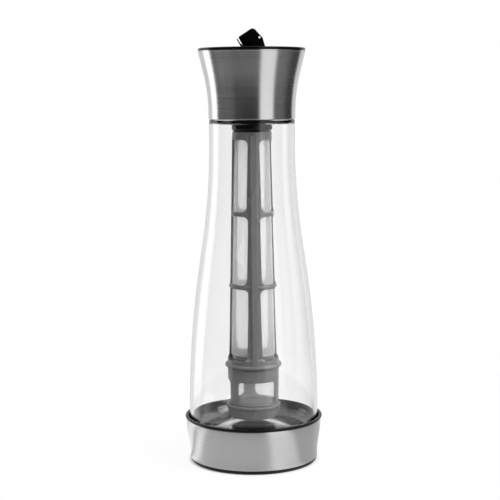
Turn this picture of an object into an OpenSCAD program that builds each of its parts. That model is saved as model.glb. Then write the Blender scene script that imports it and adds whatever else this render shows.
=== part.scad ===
// Cold brew coffee maker: a glass carafe stands in a steel-banded base, and its
// flared steel lid carries a flip cap and a long tube filter.
// Millimetres, +Z up, origin at the centre of the foot, on the table.

/* [Base] */
// Outer radius of the steel band along its straight foot
band_foot_r = 48.6; // [48:0.1:54]
// How far the band flares outwards towards its top
band_flare = 2.7; // [1:0.1:6]
// Height of the steel band
band_h = 30; // [26:0.5:40]
// Thickness of the band's sheet steel
band_t = 0.8; // [0.5:0.1:1.2]
// Wall of the black cup inside the band
cup_wall = 1.2; // [0.8:0.1:1.6]
// Height of the cup's floor above the table
cup_floor_z = 18; // [16:0.2:20]
// Thickness of the cup's floor
cup_floor_t = 2.4; // [1.5:0.1:4]
// How far the cup's lip stands out beyond the band
lip_overhang = 1.1; // [0.5:0.1:2]
// Height of the cup's lip above the band
lip_h = 2.2; // [1.8:0.1:5]
// Width of the cup's lip on top
lip_w = 2.4; // [1.6:0.1:2.6]
// Thickness of the plate that closes the base
plate_t = 2.2; // [1.6:0.1:4]
// Outer radius of the rubber foot ring
foot_r = 47.4; // [40:0.1:47.5]
// Width of the rubber foot ring
foot_w = 8; // [4:0.5:12]
// How far the rubber foot ring stands below the plate
foot_proud = 0.6; // [0.4:0.1:1.5]
// Outer radius of the cushion ring under the glass
cushion_r = 35; // [30:0.5:36]
// Width of the cushion ring
cushion_w = 5; // [3:0.5:8]
// Height of the cushion ring
cushion_h = 2.6; // [1.5:0.1:4]

/* [Carafe] */
// Radius of the glass at its widest, where it enters the base
belly_r = 48.9; // [47:0.1:49.2]
// Radius of the glass at the neck
neck_r = 32.05; // [31:0.05:34]
// Room between the filter's foot and the middle of the glass floor; the carafe's height follows from it
foot_gap = 3.1; // [2:0.05:20]
// Thickness of the glass wall
glass_t = 2.4; // [1.8:0.1:3]
// Thickness of the glass floor
glass_floor_t = 4; // [3:0.1:6]
// Outer radius of the rounded heel
heel_r = 12; // [10:0.5:13]
// How far the floor is pushed up in the middle
punt_h = 6; // [2:0.5:7]
// Radius of the part that is pushed up
punt_r = 31; // [26:0.5:32]
// Height above the underside where the belly starts to draw in
belly_h = 13; // [12.5:0.5:20]
// Length of the straight part of the neck
neck_straight = 14.9; // [8:0.1:24]
// Height from the neck's straight part down to the turn of the curve
shoulder_drop = 84; // [70:1:100]
// Outer radius of the narrow finish that the lid covers
finish_r = 30.3; // [29.5:0.1:30.6]
// Height of the narrow finish
finish_h = 28.1; // [24:0.1:34]
// Radius of the mouth inside the finish
mouth_r = 27.7; // [27.3:0.1:28]
// Height over which the inside narrows to the mouth
mouth_step_h = 2.8; // [2:0.1:6]

/* [Lid] */
// Outer radius of the steel collar at its lower edge
collar_r = 32.45; // [32.2:0.05:35]
// Height of the steel collar
collar_h = 50.3; // [46:0.1:60]
// Thickness of the collar's sheet steel
collar_t = 0.8; // [0.5:0.1:1]
// Height of the collar's straight part, below the flare
collar_straight = 3.6; // [1:0.1:8]
// Radius of the curve that starts the flare
flare_r = 130; // [110:1:150]
// Slope of the flare at the top, from the vertical, in degrees
flare_slope = 13.8; // [10:0.1:18]
// Height of the black ring on the collar's top edge
rim_h = 2.1; // [1.5:0.1:4]
// Width of the black ring
rim_w = 3.4; // [2.8:0.1:5]
// Depth from the collar's top edge to the deck of the lid
deck_drop = 13; // [11.5:0.1:14]
// Thickness of the deck
deck_t = 2.5; // [1.5:0.1:3.5]
// Wall of the black lid body
core_wall = 1.8; // [1.2:0.1:2.4]
// Length of the plug that enters the neck
plug_h = 25.6; // [22:0.1:30]
// Radius of the pour hole in the deck
pour_r = 5.6; // [4:0.1:6]
// Height of the sealing sleeve round the plug
neck_seal_h = 10; // [6:0.5:12]
// Thickness of the sealing sleeve between its fins
neck_seal_t = 0.7; // [0.5:0.1:0.8]
// Outer radius of the socket that holds the filter
socket_r = 17; // [16.4:0.1:18]
// Length of the socket below the plug
socket_drop = 5.8; // [4:0.1:8]
// Number of pour slots round the socket
slot_count = 6; // [4:1:8]
// Angle of each pour slot, in degrees
slot_angle = 42; // [20:1:42]

/* [Flip cap] */
// Distance of the hinge from the lid's axis
hinge_x = 5; // [3:0.1:7]
// Height of the hinge above the deck
hinge_h = 6.3; // [5.8:0.1:7]
// Radius of the hinge pin
pin_r = 1; // [0.8:0.05:1.2]
// Outer radius of the hinge knuckles
knuckle_r = 3.2; // [2.6:0.1:3.6]
// Thickness of the ears that carry the pin
ear_t = 2.5; // [1.8:0.1:4]
// Width of the cap along its hinge
cap_w = 17; // [16:0.5:22]
// Distance from the hinge to the cap's free end
cap_reach = 22; // [21:0.5:24]
// Height of the cap's top above the hinge
cap_rise = 11.2; // [9:0.1:12]
// Wall of the hollow cap
cap_wall = 1.8; // [1.2:0.1:2.4]
// Angle at which the cap stands open, in degrees
open_angle = 59; // [30:1:80]
// Radius of the seal disc under the cap
seal_r = 7.4; // [6.8:0.1:7.8]
// Thickness of the seal disc
seal_t = 0.9; // [0.7:0.1:1.1]
// Gap between the cap's underside and the seal disc
seal_gap = 1; // [0.6:0.1:1.2]
// Radius of the post inside the cap
boss_r = 2.2; // [2:0.1:3]
// Radius of the knob that holds the seal disc
knob_r = 1.6; // [1.3:0.1:1.9]
// Radius of the cord eye at the cap's top corner
eye_r = 1; // [0.6:0.1:1.1]

/* [Filter] */
// Height of the black gasket between the filter and the socket
gasket_h = 5.9; // [4:0.1:8]
// Outer radius of the black gasket
gasket_r = 15.2; // [14.5:0.1:16]
// Outer radius of the filter tube at its top
tube_top_r = 14.8; // [14.5:0.1:16]
// Outer radius of the filter tube at the foot of its windows
tube_low_r = 18.6; // [18.5:0.1:19]
// Wall of the filter tube
tube_t = 1.5; // [1.2:0.1:1.7]
// Height of the solid band above the top windows
top_band_h = 5.7; // [4:0.1:10]
// Height of the top row of windows
top_window_h = 53.7; // [45:0.1:56]
// Height of the middle row of windows
mid_window_h = 51.4; // [45:0.1:56]
// Height of the low row of windows
low_window_h = 52.1; // [45:0.1:56]
// Height of the bands between the rows of windows
cross_band_h = 3.3; // [2.4:0.1:6]
// Height of the solid hub below the windows
hub_h = 8.2; // [7.6:0.1:12]
// Outer radius of the hub
hub_r = 19.4; // [19.4:0.1:20.4]
// Width of the ribs between the windows
rib_w = 8.6; // [6:0.1:10]
// Width of the raised spine along each rib
spine_w = 5; // [3:0.1:6]
// How far the spines stand out
spine_h = 0.9; // [0.3:0.1:1.2]
// Corner radius of the windows
window_corner = 4; // [2:0.1:6]
// Radius of the flange ring at the hub's foot
flange_r = 21.5; // [20.8:0.1:23]
// Thickness of the flange ring
flange_h = 2.6; // [2:0.1:4]
// Radius of the spigot that locks into the lid
spigot_r = 12.4; // [11.6:0.1:12.6]
// Length of the spigot
spigot_h = 14.8; // [14.6:0.1:17]
// Thickness of the filter mesh
mesh_t = 0.35; // [0.2:0.05:0.5]
// Angle of the front rib from straight ahead, in degrees
rib_turn = 4; // [-60:1:60]

/* [Cage] */
// Outer radius of the cage below the flange
cage_r = 19.5; // [19.5:0.1:20.5]
// Wall of the cage
cage_t = 1.5; // [1.2:0.1:1.7]
// Height of the solid band above the cage windows
cage_band_h = 9.8; // [6:0.1:14]
// Height of the sill below the cage windows
cage_sill = 1.6; // [1.2:0.1:4]
// Height of the cage windows
cage_window_h = 16.9; // [12:0.1:20]
// Width of the cage windows
cage_window_w = 27.3; // [20:0.1:29]
// Radius of the lower corners of the cage windows
cage_low_corner = 3.6; // [2:0.1:5]
// Radius of the upper corners of the cage windows
cage_top_corner = 1.2; // [0.6:0.1:3]
// Angle of the front cage window from straight ahead, in degrees
cage_turn = 10; // [-60:1:60]
// Radius of the foot cap's lip
foot_lip_r = 20.6; // [20.3:0.1:22]
// Height of the foot cap
foot_cap_h = 9.7; // [8.5:0.1:14]
// Taper of the foot cap, from its lip to its floor
foot_cap_taper = 0.6; // [0:0.1:1]

/* [Fits] */
// Gap between a soft piece and what it faces, and between the lid and the glass it rests on
soft_gap = 0.3; // [0.2:0.05:0.4]
// Gap between rigid pieces that are fixed together
fixed_gap = 0.1; // [0.05:0.01:0.15]
// Gap between rigid pieces that slide or lift apart
slide_gap = 0.6; // [0.5:0.05:0.8]
// Radial clearance of turning pieces
turn_gap = 0.05; // [0.03:0.01:0.08]
// Clearance round a bayonet lug
lug_gap = 0.15; // [0.1:0.05:0.2]
// Height of a bayonet lug
lug_h = 2; // [1.5:0.1:2.5]
// Width of a bayonet lug, in degrees
lug_angle = 22; // [14:1:26]
// Turn that frees the filter from the lid, in degrees
lid_twist = 40; // [30:1:50]
// Turn that frees the cage from the filter, in degrees
cage_twist = 30; // [25:1:50]

/* [Hidden] */
$fn = 96;
arc_steps = 24;
corner_steps = 6;
around = 3;

// Heights, from the table up
plate_top_z = foot_proud + plate_t;
band_top_z = plate_top_z + band_h;
lip_top_z = band_top_z + lip_h;
flare_low_z = plate_top_z + band_h * 0.1;
glass_z = cup_floor_z + cushion_h + soft_gap;
dome_top_z = glass_z + glass_floor_t + punt_h;
foot_low_z = dome_top_z + foot_gap;
foot_top_z = foot_low_z + foot_cap_h;
cage_window_z = foot_top_z + cage_sill;
cage_z = cage_window_z + cage_window_h + cage_band_h;
hub_z = cage_z + slide_gap / 2;
window_low_z = hub_z + hub_h;
window_top_z = window_low_z + low_window_h + mid_window_h + top_window_h + 2 * cross_band_h;
tube_top_z = window_top_z + top_band_h;
spigot_top_z = tube_top_z + spigot_h;
socket_z = tube_top_z + gasket_h + soft_gap;
plug_z = socket_z + socket_drop;
flange_z = plug_z + plug_h;
rim_z = flange_z - soft_gap;
finish_z = rim_z - finish_h;
neck_z = finish_z - neck_straight;
waist_z = neck_z - shoulder_drop;
belly_z = glass_z + belly_h;
collar_z = finish_z + soft_gap;
collar_top_z = collar_z + collar_h;
deck_z = collar_top_z - deck_drop;
cage_spigot_h = hub_h - 1.8;

// Radii that follow the driving sizes
waist_r = neck_r + (belly_r - neck_r) * shoulder_drop / (neck_z - belly_z);
plug_r = mouth_r - slide_gap;
plug_in_r = plug_r - core_wall;
socket_bore_r = spigot_r + turn_gap;
lid_lug_r = spigot_r + 1.8;
hub_bore_r = hub_r - 2.2;
cage_spigot_r = hub_bore_r - turn_gap;
cage_lug_r = cage_spigot_r + 0.9;
cap_x = -cap_reach + seal_r + 0.4;
spigot_wall = 1.6;
// Underside of the cap below the hinge when it is closed
cap_under = hinge_h - soft_gap - seal_t - seal_gap;
// Reach of a window cutter, past the widest wall
cutter_reach = flange_r + 10;

// Points of an arc from angle a to angle b
function arc(centre, r, a, b, n = arc_steps) =
    [for (i = [0 : n]) centre + r * [cos(a + (b - a) * i / n), sin(a + (b - a) * i / n)]];
function unit(v) = v / norm(v);
function heading(v) = atan2(v[1], v[0]);
function short_turn(a) = a > 180 ? a - 360 : a < -180 ? a + 360 : a;
// Arc of radius r that rounds the corner at b, between a and c
function corner(a, b, c, r) = r <= 0 ? [b] :
    let (u = unit(a - b), w = unit(c - b), half = acos(u * w) / 2,
        o = b + unit(u + w) * r / sin(half),
        first = heading(b + u * r / tan(half) - o), last = heading(b + w * r / tan(half) - o))
    arc(o, r, first, first + short_turn(last - first), corner_steps);
// Outline through points [x, y, corner radius]
function rounded(p) = let (n = len(p)) [for (i = [0 : n - 1])
    let (a = p[(i + n - 1) % n], b = p[i], c = p[(i + 1) % n])
    each corner([a[0], a[1]], [b[0], b[1]], [c[0], c[1]], b[2])];
function reversed(p) = [for (i = [len(p) - 1 : -1 : 0]) p[i]];
// Smooth step from 0 to 1
function smooth(t) = let (c = min(1, max(0, t))) c * c * (3 - 2 * c);

// Outer radius of the band at height z
function band_r(z) = band_foot_r
    + band_flare * smooth((z - flare_low_z) / (band_top_z - 1.8 - flare_low_z));
// Outer outline of the band between two heights
function band_line(low, high, dr) =
    [for (i = [0 : arc_steps]) let (z = low + (high - low) * i / arc_steps) [band_r(z) + dr, z]];

// The glass outline follows two arcs that meet, tangent, at the waist
bend = 2 * atan((waist_r - neck_r) / shoulder_drop);
upper_r = shoulder_drop / sin(bend);
lower_r = (waist_z - belly_z) / sin(bend);
function glass_line(t) = concat(
    arc([belly_r - t - lower_r + t, belly_z], lower_r - t, 0, bend),
    arc([neck_r - t + upper_r + t, neck_z], upper_r + t, 180 + bend, 180));

// Outer outline of the collar, and its radius at height z
collar_low_z = collar_z + collar_straight;
flare_end_z = collar_low_z + flare_r * sin(flare_slope);
flare_end_r = collar_r + flare_r * (1 - cos(flare_slope));
collar_top_r = flare_end_r + (collar_top_z - flare_end_z) * tan(flare_slope);
function collar_at(z) = z <= collar_low_z ? collar_r
    : z <= flare_end_z ? collar_r + flare_r - sqrt(flare_r * flare_r - pow(z - collar_low_z, 2))
    : flare_end_r + (z - flare_end_z) * tan(flare_slope);
function collar_line(low, high, dr) =
    [for (i = [0 : arc_steps]) let (z = low + (high - low) * i / arc_steps) [collar_at(z) + dr, z]];

// Outer radius of the filter tube at height z
function tube_r(z) = tube_top_r
    + (tube_low_r - tube_top_r) * (tube_top_z - z) / (tube_top_z - window_low_z);

// Solid of revolution with a rectangular section
module ring(outer_r, inner_r, low_z, high_z) {
    rotate_extrude() translate([inner_r, low_z]) square([outer_r - inner_r, high_z - low_z]);
}

// Sector of a ring, centred on an angle
module sector(outer_r, inner_r, low_z, high_z, middle, span) {
    rotate([0, 0, middle - span / 2]) rotate_extrude(angle = span)
        translate([inner_r, low_z]) square([outer_r - inner_r, high_z - low_z]);
}

// Lugs of a bayonet, standing out of a spigot
module lugs(root_r, tip_r, low_z, turn) {
    for (i = [0 : around - 1])
        sector(tip_r, root_r - 0.3, low_z, low_z + lug_h, turn + i * 360 / around, lug_angle);
}

// Track of a bayonet: an entry slot for each lug and the groove that it turns in
module track(root_r, tip_r, mouth_z, low_z, turn, travel) {
    out_r = tip_r + lug_gap;
    slack = 4;
    for (i = [0 : around - 1]) {
        here = turn + i * 360 / around;
        sector(out_r, root_r - 0.3, low_z - lug_gap, low_z + lug_h + lug_gap,
            here + travel / 2, lug_angle + slack + travel);
        sector(out_r - lug_gap / 3, root_r - 0.4, mouth_z - 1, low_z + lug_h / 2,
            here + travel, lug_angle + slack / 2);
    }
}

// Flat window outline with its own radii below and above
module window_outline(w, h, low_corner, top_corner) {
    polygon(rounded([[-w / 2, 0, low_corner], [w / 2, 0, low_corner],
        [w / 2, h, top_corner], [-w / 2, h, top_corner]]));
}

// Cutter for a window that faces the given angle
module window_cutter(face, low_z, w, h, low_corner, top_corner) {
    rotate([0, 0, face]) translate([0, 0, low_z]) rotate([90, 0, 0])
        linear_extrude(height = cutter_reach) window_outline(w, h, low_corner, top_corner);
}

// Black plate that closes the underside of the base
module base_plate() {
    plate_r = band_foot_r - 0.5;
    groove_r = foot_r + fixed_gap;
    color([0.09, 0.09, 0.09]) difference() {
        rotate_extrude() polygon(rounded([[0, foot_proud, 0], [plate_r, foot_proud, 0.8],
            [plate_r, plate_top_z - fixed_gap, 0.2], [0, plate_top_z - fixed_gap, 0]]));
        ring(groove_r, foot_r - foot_w - fixed_gap, 0, foot_proud + plate_t / 2);
    }
}

// Rubber ring that the whole maker stands on
module base_foot() {
    top_z = foot_proud + plate_t / 2 - fixed_gap;
    color([0.05, 0.05, 0.05]) rotate_extrude() polygon(rounded([
        [foot_r - foot_w, 0, 0.4], [foot_r, 0, 0.4],
        [foot_r, top_z, 0], [foot_r - foot_w, top_z, 0]]));
}

// Brushed steel band round the base
module base_band() {
    color([0.72, 0.72, 0.72]) rotate_extrude() polygon(concat(
        band_line(plate_top_z, band_top_z, 0),
        reversed(band_line(plate_top_z, band_top_z, -band_t))));
}

// Black cup that holds the glass, with the lip over the band's top edge
module base_cup() {
    skin = -band_t - fixed_gap;
    lip_out_r = band_r(band_top_z) + lip_overhang;
    wall_in_r = band_r(band_top_z) + skin - cup_wall;
    lip_low_z = band_top_z + fixed_gap;
    floor_z = cup_floor_z - cup_floor_t;
    color([0.06, 0.06, 0.06]) rotate_extrude() polygon(concat(
        band_line(plate_top_z, band_top_z, skin),
        rounded([[band_r(band_top_z) + skin, lip_low_z, 0],
            [lip_out_r - 0.5, lip_low_z, 0.3],
            [lip_out_r, lip_top_z - 0.7, 0.5],
            [lip_out_r - 0.9, lip_top_z, 0.6],
            [lip_out_r - lip_w, lip_top_z - 0.2, 0.5],
            [wall_in_r, band_top_z - 0.2, 0]]),
        reversed(band_line(cup_floor_z, band_top_z - 0.6, skin - cup_wall)),
        [[0, cup_floor_z], [0, floor_z]],
        reversed(band_line(plate_top_z, floor_z, skin - cup_wall))));
}

// Silicone ring that the glass stands on
module base_cushion() {
    color([0.15, 0.15, 0.15]) rotate_extrude() polygon(rounded([
        [cushion_r - cushion_w, cup_floor_z, 0], [cushion_r, cup_floor_z, 0],
        [cushion_r, cup_floor_z + cushion_h, 0.8],
        [cushion_r - cushion_w, cup_floor_z + cushion_h, 0.8]]));
}

// Glass carafe, blown in one piece
module carafe_glass() {
    in_heel_r = heel_r - glass_t;
    heel_x = belly_r - heel_r;
    floor_z = glass_z + glass_floor_t;
    dome_r = (punt_r * punt_r + punt_h * punt_h) / (2 * punt_h);
    dome_turn = asin(punt_r / dome_r);
    shoulder_r = 0.7;
    color([0.86, 0.93, 0.95, 0.35]) rotate_extrude() polygon(concat(
        arc([0, glass_z + punt_h - dome_r], dome_r, 90, 90 - dome_turn, 10),
        arc([heel_x, glass_z + heel_r], heel_r, 270, 360, 10),
        glass_line(0),
        arc([neck_r - shoulder_r, finish_z - shoulder_r], shoulder_r, 0, 60, 4),
        rounded([[finish_r + 0.3, finish_z, 0], [finish_r, finish_z + 0.8, 0],
            [finish_r, rim_z, 1.2], [mouth_r, rim_z, 1.2], [mouth_r, finish_z, 0]]),
        [[neck_r - glass_t, finish_z - mouth_step_h]],
        reversed(glass_line(glass_t)),
        arc([heel_x, floor_z + in_heel_r], in_heel_r, 360, 270, 10),
        arc([0, floor_z + punt_h - dome_r], dome_r, 90 - dome_turn, 90, 10)));
}

// Flared collar of brushed steel round the lid
module collar_shell() {
    color([0.7, 0.7, 0.7]) rotate_extrude() polygon(concat(
        collar_line(collar_z, collar_top_z, 0),
        reversed(collar_line(collar_z, collar_top_z, -collar_t))));
}

// Black ring that finishes the collar's top edge
module rim_ring() {
    out_r = collar_top_r - 0.1;
    color([0.04, 0.04, 0.04]) rotate_extrude() polygon(rounded([
        [out_r - rim_w, collar_top_z, 0], [out_r, collar_top_z, 0.3],
        [out_r, collar_top_z + rim_h, 0.9], [out_r - rim_w, collar_top_z + rim_h, 0.9]]));
}

// Ears that stand on the deck and carry the hinge pin
module hinge_ears() {
    for (side = [-1, 1])
        translate([hinge_x, side * (cap_w / 2 + soft_gap + ear_t / 2), deck_z])
            rotate([90, 0, 0]) linear_extrude(height = ear_t, center = true) union() {
                translate([0, hinge_h]) circle(r = knuckle_r);
                translate([-knuckle_r, -deck_t / 2]) square([2 * knuckle_r, hinge_h + deck_t / 2]);
            }
}

// Black lid body: dish, deck, seat on the glass rim and plug in one moulding
module lid_core() {
    skin = -collar_t - fixed_gap;
    top_z = collar_top_z - fixed_gap;
    groove_r = plug_r - neck_seal_t - 0.2;
    seal_z = plug_z + 8;
    color([0.08, 0.08, 0.08]) difference() {
        union() {
            rotate_extrude() polygon(concat(
                collar_line(flange_z, top_z, skin),
                reversed(collar_line(deck_z, top_z, skin - core_wall)),
                [[0, deck_z], [0, deck_z - deck_t], [plug_in_r, deck_z - deck_t],
                [plug_in_r, plug_z], [plug_r, plug_z],
                [plug_r, seal_z], [groove_r, seal_z],
                [groove_r, seal_z + neck_seal_h], [plug_r, seal_z + neck_seal_h],
                [plug_r, flange_z]]));
            hinge_ears();
        }
        translate([hinge_x + cap_x, 0, deck_z - deck_t - 1]) cylinder(h = deck_t + 2, r = pour_r);
        translate([hinge_x, 0, deck_z + hinge_h]) rotate([90, 0, 0])
            cylinder(h = cap_w + 4 * ear_t, r = pin_r + 0.02, center = true, $fn = 48);
    }
}

// Silicone sleeve with three fins that seals the plug in the neck
module neck_seal() {
    foot_z = plug_z + 8 + fixed_gap;
    inner_r = plug_r - neck_seal_t - 0.2 + fixed_gap / 2;
    body_r = inner_r + neck_seal_t;
    fin_r = mouth_r - soft_gap;
    sleeve_h = neck_seal_h - 2 * fixed_gap;
    fins = 3;
    pitch = sleeve_h / fins;
    color([0.2, 0.2, 0.2]) rotate_extrude() polygon(concat(
        [[inner_r, foot_z + sleeve_h], [inner_r, foot_z]],
        [for (i = [0 : fins - 1]) let (z = foot_z + i * pitch) each [
            [body_r, z], [body_r, z + pitch * 0.3], [fin_r, z + pitch * 0.6],
            [fin_r, z + pitch * 0.8], [body_r, z + pitch * 0.85]]],
        [[body_r, foot_z + sleeve_h]]));
}

// Black insert in the plug: pour slots round the socket that holds the filter
module filter_socket() {
    disc_r = plug_in_r - fixed_gap;
    disc_t = 2.4;
    roof_z = spigot_top_z + 0.4;
    slot_in_r = socket_r + 1.2;
    slot_out_r = disc_r - 1.2;
    color([0.07, 0.07, 0.07]) difference() {
        union() {
            ring(disc_r, spigot_r, plug_z, plug_z + disc_t);
            translate([0, 0, socket_z]) cylinder(h = roof_z + 2 - socket_z, r = socket_r);
        }
        translate([0, 0, socket_z - 1]) cylinder(h = roof_z - socket_z + 1, r = socket_bore_r);
        track(socket_bore_r, lid_lug_r, socket_z, socket_z + 3.2, rib_turn, lid_twist);
        for (i = [0 : slot_count - 1])
            sector(slot_out_r, slot_in_r, plug_z - 1, plug_z + disc_t + 1,
                i * 360 / slot_count, slot_angle);
    }
}

// Steel pin of the flip cap's hinge
module hinge_pin() {
    color([0.8, 0.8, 0.8]) translate([hinge_x, 0, deck_z + hinge_h]) rotate([90, 0, 0])
        cylinder(h = cap_w + 2 * soft_gap + 2 * ear_t, r = pin_r, center = true, $fn = 48);
}

// Places what is drawn round the hinge of the closed cap at its standing angle
module on_hinge() {
    translate([hinge_x, 0, deck_z + hinge_h]) rotate([0, open_angle, 0]) children();
}

// Black flip cap, hollow below, with a cord eye at its top corner
module flip_cap() {
    under = -cap_under;
    eye_x = -cap_reach + 8.4;
    eye_z = cap_rise - eye_r - 0.9;
    color([0.05, 0.05, 0.05]) on_hinge() difference() {
        union() {
            difference() {
                rotate([90, 0, 0]) linear_extrude(height = cap_w, center = true) polygon(rounded([
                    [-cap_reach + 0.2, under, 0.7], [-cap_reach - 0.3, cap_rise - 2.2, 3],
                    [eye_x + 1.4, cap_rise, 2.2], [-6, cap_rise - 1.6, 2.5], [knuckle_r, 3.4, 1.6],
                    [knuckle_r, under + 0.6, 1.5], [0, under, 1]]));
                rotate([90, 0, 0]) linear_extrude(height = cap_w - 2 * cap_wall, center = true)
                    polygon(rounded([[-cap_reach + 2, under - 1, 0], [-cap_reach + 2, cap_rise - 5.2, 1],
                        [-knuckle_r - 3, cap_rise - 5.2, 1], [-knuckle_r - 1.2, under - 1, 0]]));
            }
            translate([cap_x, 0, under - 0.5]) cylinder(h = cap_rise - 4 - under, r = boss_r);
            translate([cap_x, 0, under - seal_gap - seal_t * 0.6])
                cylinder(h = seal_gap + 2, r = knob_r);
        }
        rotate([90, 0, 0]) cylinder(h = cap_w + 2, r = pin_r + turn_gap, center = true, $fn = 48);
        translate([eye_x, 0, eye_z]) rotate([90, 0, 0])
            cylinder(h = cap_w + 2, r = eye_r, center = true, $fn = 32);
    }
}

// Silicone seal disc pushed onto the knob under the cap
module cap_seal() {
    low = -cap_under - seal_gap - seal_t;
    color([0.12, 0.12, 0.12]) on_hinge() translate([cap_x, 0, low]) difference() {
        rotate_extrude() polygon(rounded([[0, 0, 0], [seal_r, 0, 0.3], [seal_r, seal_t, 0.3],
            [knob_r + 1.3, seal_t, 0], [knob_r + 1, seal_t + seal_gap - 0.5, 0],
            [0, seal_t + seal_gap - 0.5, 0]]));
        translate([0, 0, seal_t * 0.35]) cylinder(h = seal_gap + seal_t + 1, r = knob_r + fixed_gap);
    }
}

// Black gasket round the foot of the filter's spigot
module filter_gasket() {
    inner_r = spigot_r + turn_gap;
    color([0.05, 0.05, 0.05]) rotate_extrude() polygon(rounded([
        [inner_r, tube_top_z + fixed_gap, 0], [gasket_r - 1.4, tube_top_z + fixed_gap, 0.4],
        [gasket_r, tube_top_z + 1.8, 0.6], [gasket_r, tube_top_z + gasket_h - 1.6, 0.8],
        [gasket_r - 0.8, tube_top_z + gasket_h, 0.4], [inner_r, tube_top_z + gasket_h, 0]]));
}

// Grey filter frame: spigot, tapered tube with three rows of windows, hub and flange
module filter_frame() {
    tops = [window_top_z, window_top_z - top_window_h - cross_band_h,
        window_low_z + low_window_h];
    heights = [top_window_h, mid_window_h, low_window_h];
    color([0.45, 0.45, 0.46]) difference() {
        union() {
            rotate_extrude() polygon(concat(
                [[spigot_r, spigot_top_z], [spigot_r, tube_top_z], [tube_top_r - 0.6, tube_top_z],
                [tube_top_r, tube_top_z - 0.6], [tube_low_r, window_low_z],
                [hub_r, window_low_z - 1.4]],
                rounded([[hub_r, hub_z + flange_h, 0], [flange_r, hub_z + flange_h, 1],
                    [flange_r, hub_z, 1], [hub_bore_r, hub_z, 0]]),
                [[hub_bore_r, window_low_z - 1], [tube_low_r - tube_t, window_low_z + 1],
                [tube_top_r - tube_t, tube_top_z - 2.2], [spigot_r - spigot_wall, tube_top_z - 1.4],
                [spigot_r - spigot_wall, spigot_top_z]]));
            spines();
            ring(tube_r(tops[2]) + 0.6, tube_r(tops[2]) - tube_t / 2,
                tops[2] + 0.6, tops[2] + cross_band_h - 0.6);
            lugs(spigot_r, lid_lug_r, socket_z + 3.2, rib_turn);
        }
        for (row = [0 : 2], i = [0 : around - 1])
            window_cutter(rib_turn + 180 / around + i * 360 / around, tops[row] - heights[row],
                window_w(tops[row] - heights[row] / 2), heights[row], window_corner, window_corner);
        track(hub_bore_r, cage_lug_r, hub_z, hub_z + 3, cage_turn, cage_twist);
    }
}

// Width of a window, between ribs of rib_w, where the tube is cut at height z
function window_w(z) = let (r = tube_r(z) - tube_t / 2)
    2 * r * sin(180 / around - asin(rib_w / 2 / r));

// Raised spines down the middle of the ribs
module spines() {
    intersection() {
        rotate_extrude() polygon([
            [tube_top_r - tube_t / 2, window_top_z + 3], [tube_top_r + spine_h, window_top_z + 3],
            [tube_low_r + spine_h, window_low_z], [hub_r + spine_h, window_low_z - 2],
            [hub_r + spine_h, hub_z + flange_h / 2], [hub_r - 0.6, hub_z + flange_h / 2],
            [tube_low_r - tube_t / 2, window_low_z]]);
        for (i = [0 : around - 1])
            rotate([0, 0, rib_turn + i * 360 / around]) translate([-spine_w / 2, -cutter_reach, hub_z])
                cube([spine_w, cutter_reach, tube_top_z - hub_z]);
    }
}

// Fine mesh sleeve that lines the windows
module mesh_sleeve() {
    top_z = window_top_z + 2;
    low_z = window_low_z + 1.2;
    skin = -tube_t - soft_gap;
    color([0.88, 0.88, 0.88, 0.6]) rotate_extrude() polygon([
        [tube_r(low_z) + skin, low_z], [tube_r(top_z) + skin, top_z],
        [tube_r(top_z) + skin - mesh_t, top_z], [tube_r(low_z) + skin - mesh_t, low_z]]);
}

// Mesh sleeve behind the cage's windows
module cage_screen() {
    top_z = cage_z - 2.4;
    low_z = foot_top_z + 1.3;
    top_r = cage_r - cage_t - soft_gap;
    low_r = top_r - 0.3;
    color([0.88, 0.88, 0.88, 0.6]) rotate_extrude() polygon([
        [low_r, low_z], [top_r, top_z], [top_r - mesh_t, top_z], [low_r - mesh_t, low_z]]);
}

// Grey cage with three mesh windows, which twists into the hub
module filter_cage() {
    inner_r = cage_r - cage_t;
    spigot_in_r = cage_spigot_r - 1.6;
    skirt_r = cage_r - 1.7;
    skirt_z = foot_top_z - 6;
    color([0.42, 0.42, 0.43]) difference() {
        union() {
            rotate_extrude() polygon([
                [spigot_in_r, cage_z + cage_spigot_h], [cage_spigot_r, cage_z + cage_spigot_h],
                [cage_spigot_r, cage_z], [cage_r, cage_z], [cage_r - 0.3, foot_top_z + fixed_gap],
                [skirt_r, foot_top_z + fixed_gap], [skirt_r, skirt_z], [skirt_r - 1.3, skirt_z],
                [skirt_r - 1.3, foot_top_z + fixed_gap], [inner_r - 0.3, foot_top_z + 1.2],
                [inner_r, cage_z - 2.2], [spigot_in_r, cage_z - 1.4]]);
            lugs(cage_spigot_r, cage_lug_r, hub_z + 3, cage_turn);
        }
        for (i = [0 : around - 1])
            window_cutter(cage_turn + i * 360 / around, cage_window_z, cage_window_w,
                cage_window_h, cage_low_corner, cage_top_corner);
    }
}

// Grey foot cap that closes the cage
module foot_cap() {
    top_r = foot_lip_r - 0.7;
    in_r = cage_r - 1.7 + fixed_gap;
    color([0.4, 0.4, 0.41]) rotate_extrude() polygon(concat(
        [[0, foot_low_z]],
        rounded([[0, foot_low_z, 0], [top_r - foot_cap_taper, foot_low_z, 0.6], [top_r, foot_top_z - 2.4, 0],
            [foot_lip_r, foot_top_z - 2, 0.5], [foot_lip_r, foot_top_z, 0.7],
            [in_r, foot_top_z, 0], [in_r, foot_low_z + 2, 0.8], [0, foot_low_z + 2, 0]])));
}

base_plate();
base_foot();
base_band();
base_cup();
base_cushion();
carafe_glass();
collar_shell();
rim_ring();
lid_core();
neck_seal();
filter_socket();
hinge_pin();
flip_cap();
cap_seal();
filter_gasket();
filter_frame();
mesh_sleeve();
cage_screen();
filter_cage();
foot_cap();
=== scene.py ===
"""Looks of a cold brew coffee maker, built around its packed frame.

The glass carafe, steel sheets, black mouldings and grey filter are modelled here at the frame's sizes. The pieces
that the frame already has in full keep their meshes and get a finish.
"""

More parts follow.
